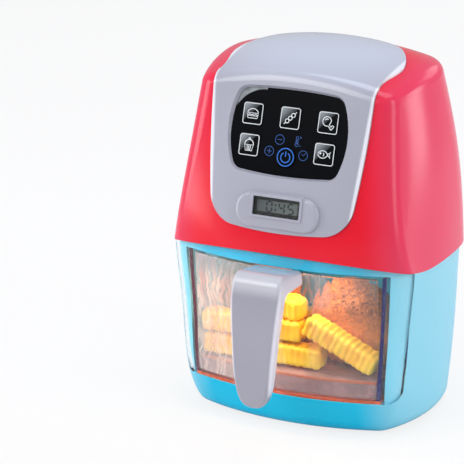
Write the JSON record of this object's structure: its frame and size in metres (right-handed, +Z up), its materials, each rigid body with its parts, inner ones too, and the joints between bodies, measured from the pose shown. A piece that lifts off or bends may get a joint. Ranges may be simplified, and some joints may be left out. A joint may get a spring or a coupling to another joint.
{
  "type": "toy air fryer",
  "caption": "Play-kitchen air fryer with a sliding clear drawer of play food, a grey handle, a key panel with a display, and a rounded two-colour housing",
  "frame": {"origin": "centre of the underside of the whole toy's bounding box, on the surface that its feet stand on", "axes": "+Z up, -Y to the front where the handle and keys are, +X to the right as seen by the user facing the front"},
  "size_m": [0.1736, 0.1688, 0.2359],
  "materials": {
    "blue_shell": "glossy moulded plastic",
    "red_shell": "glossy moulded plastic",
    "grey_shell": "satin moulded plastic",
    "handle_grey": "satin moulded plastic",
    "foot_rubber": "matt rubber",
    "mat_rubber": "matt silicone rubber",
    "screw_steel": "zinc-plated steel",
    "cell_jacket": "printed cell jacket",
    "contact_plate": "nickel-plated spring steel",
    "amber_clear": "clear amber plastic",
    "board_green": "circuit board lacquer",
    "speaker_black": "pressed frame and paper cone",
    "display_clear": "clear plastic",
    "display_grey": "segment display",
    "panel_black": "glossy printed panel",
    "key_black": "glossy key with pale outline",
    "window_clear": "clear polystyrene",
    "bin_clear": "clear polystyrene",
    "rack_clear": "smoky clear polystyrene",
    "fry_yellow": "satin moulded plastic",
    "chicken_brown": "textured moulded plastic"
  },
  "bodies": {
    "housing": {"base_shell": "blue_shell", "rubber_feet": "foot_rubber", "drawer_floor": "blue_shell", "battery_door": "blue_shell", "battery_door_screw": "screw_steel", "battery_cells": "cell_jacket", "battery_contacts": "contact_plate", "inner_deck": "blue_shell", "light_lens": "amber_clear", "light_board": "board_green", "light_screws": "screw_steel", "upper_shell": "red_shell", "housing_screws": "screw_steel", "speaker": "speaker_black", "control_fascia": "grey_shell", "lcd_lens": "display_clear", "lcd_module": "display_grey", "key_panel": "panel_black", "keypad_mat": "mat_rubber", "circuit_board": "board_green", "board_screws": "screw_steel"},
    "drawer": {"drawer_window": "window_clear", "drawer_bin": "bin_clear", "drawer_handle": "handle_grey", "handle_screws": "screw_steel", "crisper_rack": "rack_clear", "fry_front_low": "fry_yellow", "fry_front_high": "fry_yellow", "fry_top": "fry_yellow", "fry_leaning": "fry_yellow", "fry_back": "fry_yellow", "chicken_right": "chicken_brown", "chicken_left": "chicken_brown"},
    "key_upper_left_body": {"key_upper_left": "key_black"},
    "key_upper_middle_body": {"key_upper_middle": "key_black"},
    "key_upper_right_body": {"key_upper_right": "key_black"},
    "key_lower_left_body": {"key_lower_left": "key_black"},
    "key_lower_right_body": {"key_lower_right": "key_black"},
    "power_key_body": {"power_key": "key_black"}
  },
  "joints": [
    {"name": "drawer_slide", "type": "slide", "parent": "housing", "child": "drawer", "axis": [0, -1, 0], "range_m": [0, 0.08]},
    {"name": "key_upper_left_press", "type": "slide", "parent": "housing", "child": "key_upper_left_body", "axis": [0, 0.9516, -0.3074], "range_m": [0, 0.0012], "stiffness_N_per_m": 600},
    {"name": "key_upper_middle_press", "type": "slide", "parent": "housing", "child": "key_upper_middle_body", "axis": [0, 0.9516, -0.3074], "range_m": [0, 0.0012], "stiffness_N_per_m": 600},
    {"name": "key_upper_right_press", "type": "slide", "parent": "housing", "child": "key_upper_right_body", "axis": [0, 0.9516, -0.3074], "range_m": [0, 0.0012], "stiffness_N_per_m": 600},
    {"name": "key_lower_left_press", "type": "slide", "parent": "housing", "child": "key_lower_left_body", "axis": [0, 0.9516, -0.3074], "range_m": [0, 0.0012], "stiffness_N_per_m": 600},
    {"name": "key_lower_right_press", "type": "slide", "parent": "housing", "child": "key_lower_right_body", "axis": [0, 0.9516, -0.3074], "range_m": [0, 0.0012], "stiffness_N_per_m": 600},
    {"name": "power_key_press", "type": "slide", "parent": "housing", "child": "power_key_body", "axis": [0, 0.9516, -0.3074], "range_m": [0, 0.0012], "stiffness_N_per_m": 600}
  ]
}
